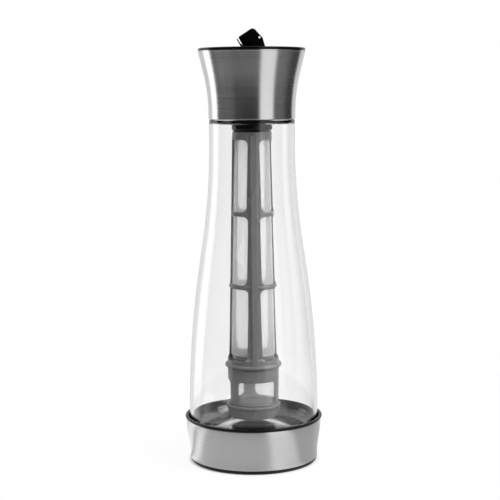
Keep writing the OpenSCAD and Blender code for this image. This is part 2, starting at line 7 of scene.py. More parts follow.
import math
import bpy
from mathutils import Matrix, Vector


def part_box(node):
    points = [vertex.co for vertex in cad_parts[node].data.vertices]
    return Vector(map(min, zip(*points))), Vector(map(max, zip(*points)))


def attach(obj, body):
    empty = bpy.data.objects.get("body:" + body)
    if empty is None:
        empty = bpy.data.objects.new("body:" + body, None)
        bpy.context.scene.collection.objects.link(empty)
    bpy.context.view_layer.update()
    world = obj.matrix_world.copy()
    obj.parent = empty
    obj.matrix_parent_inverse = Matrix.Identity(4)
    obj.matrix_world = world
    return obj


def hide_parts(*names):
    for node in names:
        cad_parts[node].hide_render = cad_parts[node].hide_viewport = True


bl_info = {
    "name": "Cold Brew Coffee Maker",
    "version": (1, 0, 0),
    "blender": (4, 5, 0),
    "location": "3D View > Sidebar > Cold Brew",
    "description": "Models and finishes the pieces of a cold brew coffee maker",
    "category": "Add Mesh",
}

from types import SimpleNamespace

import bpy
from bpy.props import FloatProperty, FloatVectorProperty, PointerProperty
from bpy.types import Operator, Panel, PropertyGroup
from mathutils import Matrix, Vector

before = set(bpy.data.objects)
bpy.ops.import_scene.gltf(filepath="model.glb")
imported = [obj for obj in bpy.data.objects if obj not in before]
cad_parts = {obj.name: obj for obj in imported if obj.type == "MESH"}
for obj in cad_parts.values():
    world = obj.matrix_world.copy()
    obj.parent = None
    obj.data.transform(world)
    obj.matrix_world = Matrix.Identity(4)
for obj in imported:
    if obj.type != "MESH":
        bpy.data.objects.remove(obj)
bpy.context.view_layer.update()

MM = 0.001


# ---- settings that a user may change

def length(name, millimetres, description):
    """A size."""
    return FloatProperty(name=name, description=description, default=millimetres * MM, unit="LENGTH")


def slant(name, degrees, description):
    """An angle."""
    return FloatProperty(name=name, description=description, default=math.radians(degrees), subtype="ANGLE")


def linear(hex_colour):
    """Linear RGB of an sRGB colour written as #rrggbb."""
    parts = [int(hex_colour[i:i + 2], 16) / 255 for i in (1, 3, 5)]
    return [c / 12.92 if c <= 0.04045 else ((c + 0.055) / 1.055) ** 2.4 for c in parts]


def colour(name, hex_colour, description):
    """A colour."""
    return FloatVectorProperty(name=name, description=description, default=linear(hex_colour), subtype="COLOR",
                               size=3, min=0.0, max=1.0)


def sizes_of(group):
    """The sizes of a group of settings, in millimetres and degrees."""
    settings = getattr(bpy.context.scene, "cold_brew_" + group)
    properties = settings.bl_rna.properties
    values = {name: getattr(settings, name) for name in type(settings).__annotations__}
    return SimpleNamespace(**{name: math.degrees(value) if properties[name].subtype == "ANGLE" else value / MM
                              for name, value in values.items()})


# ---- nodes

# Inputs of a map range for noise, which lies mostly between these
NOISE_RANGE = {"From Min": 0.3, "From Max": 0.7}
# Setting of a map range whose ends are eased
EASED_ENDS = {"interpolation_type": "SMOOTHSTEP"}
WHITE = (1, 1, 1, 1)


def rgba(colour, share=1.0):
    """RGBA list of a linear colour, made darker or lighter by a share."""
    return [min(1.0, part * share) for part in colour] + [1.0]


def add_node(tree, kind, inputs=None, **settings):
    """Adds a node, applies its settings, and fills its inputs, named or counted, with values or links. A node that
    is given as a value stands for the first of its outputs."""
    node = tree.nodes.new("ShaderNode" + kind)
    for name, value in settings.items():
        setattr(node, name, value)
    sockets = [socket for socket in node.inputs if socket.enabled]
    for key, value in (inputs or {}).items():
        socket = sockets[key] if isinstance(key, int) else next(s for s in sockets if s.name == key)
        if isinstance(value, bpy.types.Node):
            value = next(output for output in value.outputs if output.enabled)
        if isinstance(value, bpy.types.NodeSocket):
            tree.links.new(value, socket)
        else:
            socket.default_value = value
    return node


def marks(tree, scale, detail=2.0, roughness=0.5):
    """Uneven marks that stay on the piece. The scale has one number for each axis, in cells per metre."""
    place = add_node(tree, "TexCoord").outputs["Object"]
    scaled = add_node(tree, "Mapping", {"Vector": place, "Scale": scale})
    return add_node(tree, "TexNoise", {"Vector": scaled, "Scale": 1.0, "Detail": detail, "Roughness": roughness})


def new_material(name, surface):
    """A material made of nodes. The surface is a function that adds them to a tree and returns the last one."""
    material = bpy.data.materials.new(name)
    material.use_nodes = True
    tree = material.node_tree
    tree.nodes.clear()
    add_node(tree, "OutputMaterial", {"Surface": surface(tree)})
    return material


# ---- finishes

def brushed_stainless(tree, sheet, line_pitch):
    """Brushed 18/8 stainless steel sheet. The belt turns round the sheet, so its fine lines lie level, and they
    draw each reflection out into a tall soft streak. The lines are drawn coarser than the real grit, so that
    they show."""
    lines = marks(tree, (6, 6, 1 / line_pitch), detail=3.0, roughness=0.6)
    cloud = marks(tree, (18, 18, 30))
    lined = add_node(tree, "MapRange", {"Value": lines, **NOISE_RANGE, "To Min": 0.22, "To Max": 0.28})
    clouded = add_node(tree, "MapRange", {"Value": cloud, **NOISE_RANGE, "To Min": -0.02, "To Max": 0.02})
    return add_node(tree, "BsdfPrincipled", {
        "Base Color": add_node(tree, "Mix", {
            "Factor": lines, "A": rgba(sheet, 0.90), "B": rgba(sheet, 1.09)}, data_type="RGBA"),
        "Metallic": 1.0,
        "Roughness": add_node(tree, "Math", {0: lined, 1: clouded}, operation="ADD"),
        "Anisotropic": 0.85,
        "Tangent": add_node(tree, "CombineXYZ", {"Z": 1.0}),
        "Normal": add_node(tree, "Bump", {"Height": lines, "Distance": 0.002 * MM}),
    })


def uneven(tree, tint, pattern, shades, roughness, **inputs):
    """Surface whose colour and gloss follow a pattern of marks. Each pair has the least and the most."""
    return add_node(tree, "BsdfPrincipled", {
        "Base Color": add_node(tree, "Mix", {
            "Factor": pattern, "A": rgba(tint, shades[0]), "B": rgba(tint, shades[1])}, data_type="RGBA"),
        "Roughness": add_node(tree, "MapRange", {
            "Value": pattern, **NOISE_RANGE, "To Min": roughness[0], "To Max": roughness[1]}),
        **{name.replace("_", " "): value for name, value in inputs.items()},
    })


def polished_steel(tree, pin):
    """Drawn and polished stainless pin: bright, with faint marks along its length."""
    return uneven(tree, pin, marks(tree, (900, 60, 900)), (0.86, 1.14), (0.12, 0.22), Metallic=1.0)


def moulded(tree, pigment, flow, shades, roughness, grain, relief, **inputs):
    """Moulded piece: marks of flow from place to place, and the mould's fine grain with its relief, in metres."""
    fine = marks(tree, (1 / grain,) * 3, detail=1.0)
    return uneven(tree, pigment, flow, shades, roughness,
                  Normal=add_node(tree, "Bump", {"Height": fine, "Distance": relief}), **inputs)


def moulded_plastic(tree, pigment, roughness, grain, relief, ior, specular=0.5):
    """Injection-moulded plastic. The tool's texture gives a fine grain, and flow and handling change its gloss a
    little from place to place."""
    return moulded(tree, pigment, marks(tree, (25, 25, 40)), (0.8, 1.25), (roughness - 0.03, roughness + 0.03),
                   grain, relief, IOR=ior, Specular_IOR_Level=specular)


def elastomer(tree, pigment, roughness, bloom, ior):
    """Moulded rubber or silicone: dull, slightly soft at grazing angles, with a faint dusty bloom."""
    dust = marks(tree, (60, 60, 60), detail=4.0, roughness=0.65)
    return moulded(tree, pigment, dust, (0.75, 1.3), (roughness - 0.05, roughness + 0.05), 0.8 * MM, 0.02 * MM,
                   IOR=ior, Specular_IOR_Level=0.3, Sheen_Weight=bloom, Sheen_Roughness=0.5)


def grey_polypropylene(tree, pigment):
    """Moulded grey polypropylene, with a soft gloss that draws light lines on its rims, and faint flow marks."""
    return moulded(tree, pigment, marks(tree, (25, 25, 12)), (0.94, 1.06), (0.24, 0.30), 0.7 * MM, 0.008 * MM,
                   IOR=1.49, Subsurface_Weight=0.05, Subsurface_Radius=(0.6, 0.6, 0.6), Subsurface_Scale=MM)


def borosilicate_glass(tree, tint):
    """Blown borosilicate glass: clear, thin and smooth. Light from the lamps passes it, so that what stands inside
    is lit."""
    glass = add_node(tree, "BsdfPrincipled", {
        "Base Color": rgba(tint), "Roughness": 0.0, "IOR": 1.47, "Transmission Weight": 1.0,
        "Specular IOR Level": 0.15,
    })
    shadow = add_node(tree, "LightPath").outputs["Is Shadow Ray"]
    return add_node(tree, "MixShader", {
        0: shadow, 1: glass, 2: add_node(tree, "BsdfTransparent", {"Color": rgba(tint)})})


def woven_nylon(tree, thread, cover, pitch=0.9 * MM, sleeve_r=16 * MM, edge=0.12):
    """Woven nylon filter cloth. The real threads lie 0.15 mm apart, too fine to show, so the weave is drawn at a
    wider pitch. The cloth covers a share of each face and lets the rest through."""
    place = add_node(tree, "TexCoord").outputs["Object"]
    axes = add_node(tree, "SeparateXYZ", {"Vector": place}).outputs
    turn = add_node(tree, "Math", {0: axes["Y"], 1: axes["X"]}, operation="ARCTAN2")
    across = add_node(tree, "Math", {0: turn, 1: round(2 * math.pi * sleeve_r / pitch)}, operation="MULTIPLY")
    up = add_node(tree, "Math", {0: axes["Z"], 1: 2 * math.pi / pitch}, operation="MULTIPLY")
    weave = add_node(tree, "Math", {
        0: add_node(tree, "Math", {0: across}, operation="SINE"),
        1: add_node(tree, "Math", {0: up}, operation="SINE"),
    }, operation="MAXIMUM")
    shade = add_node(tree, "Mix", {
        "Factor": weave, "A": rgba(thread, 0.92), "B": rgba(thread, 1.08)}, data_type="RGBA")
    cloth = add_node(tree, "MixShader", {
        0: 0.5,
        1: add_node(tree, "BsdfPrincipled", {"Base Color": shade, "Roughness": 0.5, "IOR": 1.53}),
        2: add_node(tree, "BsdfTranslucent", {"Color": shade}),
    })
    share = add_node(tree, "MapRange", {
        "Value": weave, "From Min": -0.4, "From Max": 1.0, "To Min": cover - edge, "To Max": cover + edge})
    return add_node(tree, "MixShader", {0: share, 1: add_node(tree, "BsdfTransparent"), 2: cloth})


class FinishSettings(PropertyGroup):
    """Colours of the finishes."""
    steel: colour("Steel", "#cfcfcf", "Brushed stainless sheet")
    pin: colour("Pin", "#c7c8c9", "Polished hinge pin")
    gloss: colour("Gloss black", "#070707", "Glossy black plastic of the cap, ring and cup")
    satin: colour("Satin black", "#090909", "Satin black plastic of the lid's core and the base plate")
    rubber: colour("Rubber", "#080808", "Black rubber of the foot")
    silicone: colour("Silicone", "#0b0b0b", "Black silicone of the seals")
    glass: colour("Glass", "#fdfdfd", "Tint of the glass")
    grey: colour("Grey", "#5f5f5f", "Grey plastic of the filter")
    thread: colour("Mesh", "#f2f2f1", "Threads of the filter cloth")


# Finishes: name, the function that makes it, its colour's setting, and its numbers, with lengths in metres
FINISHES = {
    "brushed_stainless": (brushed_stainless, "steel", {"line_pitch": 0.8 * MM}),
    "polished_steel_pin": (polished_steel, "pin", {}),
    "gloss_black_abs": (moulded_plastic, "gloss", {
        "roughness": 0.16, "grain": 0.9 * MM, "relief": 0.002 * MM, "ior": 1.45, "specular": 0.22}),
    "satin_black_polypropylene": (moulded_plastic, "satin", {
        "roughness": 0.38, "grain": 0.6 * MM, "relief": 0.01 * MM, "ior": 1.4}),
    "black_rubber": (elastomer, "rubber", {"roughness": 0.42, "bloom": 0.0, "ior": 1.5}),
    "gloss_black_silicone": (elastomer, "gloss", {"roughness": 0.22, "bloom": 0.0, "ior": 1.45}),
    "black_silicone": (elastomer, "silicone", {"roughness": 0.45, "bloom": 0.1, "ior": 1.43}),
    "borosilicate_glass": (borosilicate_glass, "glass", {}),
    "grey_polypropylene": (grey_polypropylene, "grey", {}),
    "woven_nylon": (woven_nylon, "thread", {"cover": 0.24}),
    "open_woven_nylon": (woven_nylon, "thread", {"cover": 0.14}),
}


def finish(piece, name):
    """Gives a piece, or a node of the frame, one of the finishes."""
    make, setting, numbers = FINISHES[name]
    tint = getattr(bpy.context.scene.cold_brew_finish, setting)
    material = bpy.data.materials.get(name) or new_material(name, lambda tree: make(tree, tint, **numbers))
    if not piece.data.materials:
        piece.data.materials.append(material)
    for i in range(len(piece.data.materials)):
        piece.data.materials[i] = material


def finish_nodes(**finishes):
    """Gives a finish to each node of the frame that keeps its mesh."""
    for node, name in finishes.items():
        finish(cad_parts[node], name)


# ---- outlines

def measure(node):
    """Lowest and highest z and largest x of a frame node, in millimetres."""
    low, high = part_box(node)
    return low[2] / MM, high[2] / MM, high[0] / MM


def arc(centre, radius, start, stop, steps=12):
    """Points of an arc between two angles in degrees."""
    turns = [math.radians(start + (stop - start) * i / steps) for i in range(steps + 1)]
    return [(centre[0] + radius * math.cos(a), centre[1] + radius * math.sin(a)) for a in turns]


def corner(before, here, after, radius, steps):
    """Arc that rounds one corner of an outline."""
    here = Vector(here)
    u = (Vector(before) - here).normalized()
    w = (Vector(after) - here).normalized()
    half = u.angle(w) / 2
    centre = here + (u + w).normalized() * radius / math.sin(half)
    first = here + u * radius / math.tan(half) - centre
    last = here + w * radius / math.tan(half) - centre
    start = math.degrees(math.atan2(first.y, first.x))
    turn = (math.degrees(math.atan2(last.y, last.x)) - start + 180) % 360 - 180
    return arc(centre, radius, start, start + turn, steps)


def rounded(points, steps=6, closed=False):
    """Outline through points (x, y, corner radius). The ends of an open one stay sharp."""
    line = []
    for i, (x, y, radius) in enumerate(points):
        if radius and (closed or 0 < i < len(points) - 1):
            before, after = points[i - 1], points[(i + 1) % len(points)]
            line += corner(before[:2], (x, y), after[:2], radius, steps)
        else:
            line.append((x, y))
    return line


# ---- modelling

WELD = 0.002 * MM  # points closer than this become one
SMOOTH_ANGLE = 32  # faces that meet at less than this many degrees look smooth
# Window cutters reach from inside a tube's wall to well outside it, in millimetres from the axis
CUT_FROM, CUT_TO = 8.5, 30


def select_none():
    """Leaves edit mode and clears the selection."""
    if bpy.context.mode != "OBJECT":
        bpy.ops.object.mode_set(mode="OBJECT")
    bpy.ops.object.select_all(action="DESELECT")


def select_only(piece):
    """Makes one piece the selection."""
    select_none()
    bpy.context.view_layer.objects.active = piece
    piece.select_set(True)
    return piece


def drawn(name, points, closed):
    """Starts a piece in edit mode as a line through points in millimetres, each vertex extruded from the last."""
    select_none()
    bpy.ops.mesh.primitive_plane_add(size=MM)
    piece = bpy.context.active_object
    piece.name = name
    bpy.ops.object.mode_set(mode="EDIT")
    bpy.ops.mesh.merge(type="CENTER")
    points = [Vector(p) * MM for p in points]
    bpy.ops.transform.translate(value=points[0])
    for here, there in zip(points, points[1:] + points[:closed]):
        bpy.ops.mesh.extrude_vertices_move(TRANSFORM_OT_translate={"value": there - here})
    bpy.ops.mesh.select_all(action="SELECT")
    bpy.ops.mesh.remove_doubles(threshold=WELD)
    return piece


def smoothed(piece):
    """Leaves edit mode with the faces pointing outwards and smooth up to an angle."""
    if bpy.context.mode != "EDIT_MESH":
        bpy.ops.object.mode_set(mode="EDIT")
    bpy.ops.mesh.select_all(action="SELECT")
    bpy.ops.mesh.normals_make_consistent(inside=False)
    bpy.ops.object.mode_set(mode="OBJECT")
    bpy.ops.object.shade_smooth_by_angle(angle=math.radians(SMOOTH_ANGLE))
    return piece


def turned(name, outline, steps=192):
    """Turns an outline of (radius, height) points in millimetres round the axis. An outline that starts and ends
    on the axis stays open there, and any other is closed."""
    on_axis = outline[0][0] == 0 and outline[-1][0] == 0
    piece = drawn(name, [(r, 0, z) for r, z in outline], closed=not on_axis)
    bpy.ops.mesh.spin(steps=steps, angle=2 * math.pi, center=(0, 0, 0), axis=(0, 0, 1))
    bpy.ops.mesh.select_all(action="SELECT")
    bpy.ops.mesh.remove_doubles(threshold=WELD)
    return smoothed(piece)


def prism(name, outline, width):
    """Prism of a closed (x, z) outline in millimetres, centred on y = 0."""
    piece = drawn(name, [(x, -width / 2, z) for x, z in outline], closed=True)
    bpy.ops.mesh.edge_face_add()
    bpy.ops.mesh.extrude_region_move(TRANSFORM_OT_translate={"value": (0, width * MM, 0)})
    return smoothed(piece)


def use_modifier(piece, kind, **settings):
    """Adds a modifier to a piece and applies it."""
    select_only(piece)
    modifier = piece.modifiers.new(kind.lower(), kind)
    for name, value in settings.items():
        setattr(modifier, name, value)
    bpy.ops.object.modifier_apply(modifier=modifier.name)


def cut(piece, cutter):
    """Cuts a piece with another object, and deletes the other one."""
    use_modifier(piece, "BOOLEAN", object=cutter, operation="DIFFERENCE", solver="EXACT")
    bpy.data.objects.remove(cutter)


def eased(piece, width, segments=3, angle=40):
    """Rounds the sharp edges of a piece, as a mould does. The width is in millimetres."""
    use_modifier(piece, "BEVEL", width=width * MM, segments=segments, limit_method="ANGLE",
                 angle_limit=math.radians(angle), use_clamp_overlap=False)
    return smoothed(select_only(piece))


def joined(name, pieces):
    """Makes one object of several."""
    select_none()
    for piece in pieces:
        piece.select_set(True)
    bpy.context.view_layer.objects.active = pieces[0]
    bpy.ops.object.join()
    pieces[0].name = name
    return pieces[0]


def settled(piece, turn=(0, 0, 0), place=(0, 0, 0)):
    """Turns a piece by degrees, moves it by millimetres, and puts its place into its mesh."""
    select_only(piece)
    piece.rotation_euler = [math.radians(a) for a in turn]
    piece.location = Vector(place) * MM
    bpy.ops.object.transform_apply(location=True, rotation=True, scale=True)
    return piece


def three_round(piece, turn):
    """Three of a piece round the axis, each with its own mesh. The first is turned by some degrees."""
    pieces = [piece]
    for _ in range(2):
        copy = piece.copy()
        copy.data = piece.data.copy()
        bpy.context.collection.objects.link(copy)
        pieces.append(copy)
    return [settled(piece, turn=(0, 0, turn + 120 * i)) for i, piece in enumerate(pieces)]


def bar(name, x, z, radius, height, turn=(0, 0, 0), steps=40):
    """Round bar used as a cutter or a boss, in millimetres."""
    select_none()
    bpy.ops.mesh.primitive_cylinder_add(
        vertices=steps, radius=radius * MM, depth=height * MM, end_fill_type="NGON")
    piece = bpy.context.active_object
    piece.name = name
    return settled(piece, turn, (x, 0, z))


def windows(name, rows, turn):
    """Cutters for windows three times round a tube. A row is (low z, height, width, low and top corner radius)."""
    cutters = []
    for low, height, width, low_corner, top_corner in rows:
        half, top = width / 2, low + height
        cutter = prism(name, rounded([
            (-half, low, low_corner), (half, low, low_corner), (half, top, top_corner), (-half, top, top_corner)],
            8, closed=True), CUT_TO - CUT_FROM)
        cutters += three_round(settled(cutter, place=(0, -(CUT_FROM + CUT_TO) / 2, 0)), turn)
    return joined(name, cutters)


def place(piece, body, slot, finish_name, *nodes):
    """Finishes a new piece, fixes it to its body and lets it stand for its nodes of the frame."""
    finish(piece, finish_name)
    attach(piece, body)
    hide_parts(*nodes)


# ---- pieces

class BaseSettings(PropertyGroup):
    """Steel band and black cup of the base."""
    foot_radius: length("Foot radius", 48.6, "Outer radius of the band at the table")
    flare: length("Flare", 2.7, "How far the band flares outwards")
    sheet: length("Sheet", 0.8, "Thickness of the band's steel")
    cup_wall: length("Cup wall", 1.2, "Wall of the black cup")
    cup_floor: length("Cup floor", 18.0, "Height of the cup's floor above the table")
    cup_floor_sheet: length("Cup floor thickness", 2.4, "Thickness of the cup's floor")
    lip_overhang: length("Lip overhang", 1.08, "How far the lip stands out beyond the band")
    lip_width: length("Lip width", 2.4, "Width of the lip on top")


def band_line(base, low, high, offset, steps=28):
    """Outline of the flared band, or of a face that follows it, between two heights."""
    bottom, top, _ = measure("base_band")
    start_share, end_drop = 0.1, 1.8
    flare_low = bottom + (top - bottom) * start_share
    flare_high = top - end_drop
    line = []
    for i in range(steps + 1):
        z = low + (high - low) * i / steps
        share = min(1, max(0, (z - flare_low) / (flare_high - flare_low)))
        line.append((base.foot_radius + base.flare * share * share * (3 - 2 * share) + offset, z))
    return line


class COLDBREW_OT_base(Operator):
    """Models the base: steel band with rolled edges, and black cup with its lip"""
    bl_idname = "coldbrew.base"
    bl_label = "Base"

    def execute(self, context):
        base = sizes_of("base")
        low, top, _ = measure("base_band")
        edge = 0.35
        outer = band_line(base, low + edge, top - edge, 0)
        inner = band_line(base, low + edge, top - edge, -base.sheet)
        foot_r, rim_r = outer[0][0], outer[-1][0]
        band = turned("steel_band", arc((foot_r - edge, low + edge), edge, -90, 0, 4)[:-1] + outer
                      + arc((rim_r - edge, top - edge), edge, 0, 90, 4)[1:] + inner[::-1])
        place(band, "base", "steel_brushed", "brushed_stainless", "base_band")

        lip_top = measure("base_cup")[1]
        gap = 0.1
        skin = -base.sheet - gap
        floor = base.cup_floor
        under = floor - base.cup_floor_sheet
        lip_r = rim_r + base.lip_overhang
        inside = band_line(base, floor, top - 0.6, skin - base.cup_wall)
        bend = 7  # the last point of the wall that the floor's rounded corner takes up
        outline = [(0, floor)] + rounded([(0, floor, 0), (inside[0][0], floor, 1.6), (*inside[bend], 0)])[1:]
        outline += inside[bend + 1:]
        outline += rounded([(*outline.pop(), 0), (lip_r - base.lip_width, lip_top - 0.2, 0.8),
                            (lip_r - 0.9, lip_top, 0.7), (lip_r, lip_top - 0.7, 0.5),
                            (lip_r - 0.5, top + gap, 0.3), (rim_r + skin, top + gap, 0)])
        outline += band_line(base, low, top - 0.4, skin)[::-1]
        outline += band_line(base, low, under, skin - base.cup_wall) + [(0, under)]
        place(turned("black_cup", outline), "base", "plastic_black_gloss", "gloss_black_abs", "base_cup")

        finish_nodes(base_plate="satin_black_polypropylene", base_foot="black_rubber",
                     base_cushion="black_silicone")
        return {"FINISHED"}


class CarafeSettings(PropertyGroup):
    """Blown glass carafe."""
    neck_radius: length("Neck radius", 32.05, "Outer radius at the neck")
    wall: length("Wall", 2.4, "Thickness of the glass")
    floor: length("Floor", 4.0, "Thickness of the glass floor")
    heel: length("Heel", 12.0, "Outer radius of the rounded heel")
    push_up: length("Push-up", 6.0, "Rise of the floor in the middle")
    push_up_radius: length("Push-up radius", 31.0, "Radius of the part of the floor that rises")
    shoulder_drop: length("Shoulder drop", 84.0, "From the neck's straight part down to the turn of the curve")
    neck_straight: length("Neck", 14.9, "Length of the neck's straight part")
    belly_height: length("Belly", 13.0, "Height above the underside where the belly draws in")
    finish_radius: length("Finish radius", 30.3, "Radius of the narrow finish under the lid")
    finish_height: length("Finish height", 28.1, "Height of the narrow finish")
    mouth_radius: length("Mouth radius", 27.7, "Radius of the mouth")


def glass_line(carafe, belly_r, belly_z, neck_z, wall):
    """Curve of the glass from the belly to the neck, as two arcs that meet at the waist."""
    neck_r, drop = carafe.neck_radius, carafe.shoulder_drop
    waist_z = neck_z - drop
    waist_r = neck_r + (belly_r - neck_r) * drop / (neck_z - belly_z)
    bend = 2 * math.atan((waist_r - neck_r) / drop)
    upper = drop / math.sin(bend)
    lower = (waist_z - belly_z) / math.sin(bend)
    bend = math.degrees(bend)
    return (arc((belly_r - lower, belly_z), lower - wall, 0, bend, 48)
            + arc((neck_r + upper, neck_z), upper + wall, 180 + bend, 180, 40)[1:])


class COLDBREW_OT_carafe(Operator):
    """Models the glass carafe with a smooth, fine outline"""
    bl_idname = "coldbrew.carafe"
    bl_label = "Carafe"

    def execute(self, context):
        carafe = sizes_of("carafe")
        low, rim, belly_r = measure("carafe_glass")
        wall, heel, rise = carafe.wall, carafe.heel, carafe.push_up
        finish_r, mouth_r, neck_r = carafe.finish_radius, carafe.mouth_radius, carafe.neck_radius
        finish_z = rim - carafe.finish_height
        neck_z = finish_z - carafe.neck_straight
        belly_z = low + carafe.belly_height
        floor, heel_x = low + carafe.floor, belly_r - heel
        dome = (carafe.push_up_radius ** 2 + rise ** 2) / (2 * rise)
        dome_edge = 90 - math.degrees(math.asin(carafe.push_up_radius / dome))
        ease = 0.7
        outline = [(0, low + rise)] + arc((0, low + rise - dome), dome, 90, dome_edge, 16)[1:]
        outline += [(heel_x - 0.2, low)]
        outline += arc((heel_x, low + heel), heel, -90, 0, 20)
        outline += glass_line(carafe, belly_r, belly_z, neck_z, 0)[1:]
        outline += arc((neck_r - ease, finish_z - ease), ease, 0, 70, 5)
        outline += rounded([(finish_r + 0.3, finish_z, 0), (finish_r, finish_z + 0.8, 0.4), (finish_r, rim, 1.2),
                            (mouth_r, rim, 1.2), (mouth_r, finish_z, 3), (neck_r - wall, finish_z - 2.8, 3),
                            (neck_r - wall, neck_z + 4, 0)])
        outline += glass_line(carafe, belly_r, belly_z, neck_z, wall)[::-1]
        outline += arc((heel_x, floor + heel - wall), heel - wall, 0, -90, 20)[1:]
        outline += arc((0, floor + rise - dome), dome, dome_edge, 90, 16)[:-1] + [(0, floor + rise)]
        glass = turned("glass_carafe", outline, 256)
        place(glass, "carafe", "glass_clear", "borosilicate_glass", "carafe_glass")
        return {"FINISHED"}


class LidSettings(PropertyGroup):
    """Steel collar and black ring of the lid."""
    sheet: length("Sheet", 0.8, "Thickness of the collar's steel")
    straight: length("Straight part", 3.6, "Height of the collar's straight part")
    curve: length("Curve", 130.0, "Radius of the curve that starts the flare")
    slope: slant("Slope", 13.8, "Slope of the flare from the vertical")
    radius: length("Radius", 32.45, "Radius of the collar's lower edge")
    ring_width: length("Ring width", 3.4, "Width of the black ring")


def collar_radius(lid, low, z):
    """Outer radius of the collar at a height."""
    slope = math.radians(lid.slope)
    start = low + lid.straight
    end = start + lid.curve * math.sin(slope)
    if z <= start:
        return lid.radius
    if z <= end:
        return lid.radius + lid.curve - math.sqrt(lid.curve ** 2 - (z - start) ** 2)
    return lid.radius + lid.curve * (1 - math.cos(slope)) + (z - end) * math.tan(slope)


class COLDBREW_OT_lid(Operator):
    """Models the lid's flared steel collar with its rolled edges, and the black ring on top"""
    bl_idname = "coldbrew.lid"
    bl_label = "Lid"

    def execute(self, context):
        lid = sizes_of("lid")
        low, top, _ = measure("collar_shell")
        edge, hem, hem_rise, hem_lean, steps = 0.4, 1.3, 0.12, 0.15, 40
        groove_depth, groove_h = 0.05, 0.06
        heights = [low + edge + (top - hem - low - edge) * i / steps for i in range(steps + 1)]
        outer = [(collar_radius(lid, low, z), z) for z in heights]
        inner = [(collar_radius(lid, low, z) - lid.sheet, z) for z in heights + [top]]
        groove = [(outer[-1][0] - groove_depth, top - hem + groove_h)]
        roll = []
        for share in (0.12, 0.25, 0.4, 0.55, 0.7, 0.85, 0.94):
            z = top - hem * (1 - share)
            roll.append((collar_radius(lid, low, z) + hem_rise * math.sin(math.pi * share) ** 0.5, z))
        outline = arc((outer[0][0] - edge, low + edge), edge, -90, 0, 5)[:-1] + outer + groove + roll
        outline += [(collar_radius(lid, low, top) - hem_lean, top)] + inner[::-1]
        place(turned("steel_collar", outline), "lid", "steel_brushed", "brushed_stainless", "collar_shell")

        ring_low, ring_top, ring_r = measure("rim_ring")
        bore_r = ring_r - lid.ring_width
        ring = turned("black_rim_ring", rounded([
            (bore_r, ring_low, 0.2), (ring_r - 0.2, ring_low, 0.2), (ring_r, ring_low + 0.7, 0.5),
            (ring_r - 0.1, ring_top, 0.9), (bore_r, ring_top, 0.9)], 8, closed=True))
        place(ring, "lid", "plastic_black_gloss", "gloss_black_abs", "rim_ring")

        finish_nodes(lid_core="satin_black_polypropylene", filter_socket="satin_black_polypropylene",
                     neck_seal="black_silicone", hinge_pin="polished_steel_pin")
        return {"FINISHED"}


class CapSettings(PropertyGroup):
    """Flip cap over the pour hole."""
    width: length("Width", 17.0, "Width of the cap along its hinge")
    reach: length("Reach", 22.0, "From the hinge to the cap's free end")
    rise: length("Rise", 11.10, "Height of the cap's top above the hinge")
    under: length("Underside", 4.1, "Depth of the cap's underside below the hinge")
    opening: slant("Opening", 59, "Angle at which the cap stands open")
    hinge_x: length("Hinge", 5.0, "Distance of the hinge from the lid's axis")
    hinge_z: length("Hinge height", 303.1, "Height of the hinge above the table")


class COLDBREW_OT_cap(Operator):
    """Models the hollow flip cap with its cord eye, and the seal disc under it"""
    bl_idname = "coldbrew.cap"
    bl_label = "Flip cap"

    def execute(self, context):
        cap = sizes_of("cap")
        width, rise, end, under = cap.width, cap.rise, -cap.reach, -cap.under
        eye_x, eye_z, knob_x = end + 8.4, 9.3, end + 7.8
        shell = prism("flip_cap_shell", rounded([
            (end + 0.2, under, 0.7), (end - 0.3, 9.0, 3.0), (eye_x + 1.4, rise, 2.2), (-6, rise - 1.6, 2.5),
            (3.2, 3.4, 1.6), (3.2, under + 0.6, 1.5), (0, under, 1)], 8, closed=True), width)
        eased(shell, 0.7, 4, 50)
        cut(shell, prism("pocket", rounded([
            (end + 2, under - 3, 0), (end + 2, 6.0, 1), (-6.2, 6.0, 1), (-4.4, under - 3, 0)],
            6, closed=True), width - 3.6))
        across = (90, 0, 0)
        cut(shell, bar("pin_hole", 0, 0, 1.05, width + 4, across))
        cut(shell, bar("eye_hole", eye_x, eye_z, 0.85, width + 4, across))
        boss = bar("boss", knob_x, under + 4.6, 2.2, 9.0)
        knob = bar("knob", knob_x, under - 0.3, 1.6, 2.6)
        cover = joined("flip_cap_cover", [shell, smoothed(select_only(boss)), smoothed(select_only(knob))])

        disc_r, disc_top, nub_top = 7.4, under - 1.0, under - 0.4
        disc_low = disc_top - 0.9
        seal = turned("cap_seal_disc", rounded([
            (0, disc_low, 0), (disc_r, disc_low, 0.4), (disc_r, disc_top, 0.4), (2.9, disc_top, 0.3),
            (2.6, nub_top, 0.2), (0, nub_top, 0)], 5), 96)
        settled(seal, place=(knob_x, 0, 0))
        for piece in (cover, seal):
            settled(piece, (0, cap.opening, 0), (cap.hinge_x, 0, cap.hinge_z))
        place(cover, "cap", "plastic_black_gloss", "gloss_black_abs", "flip_cap")
        place(seal, "cap", "silicone_black", "gloss_black_silicone", "cap_seal")
        return {"FINISHED"}


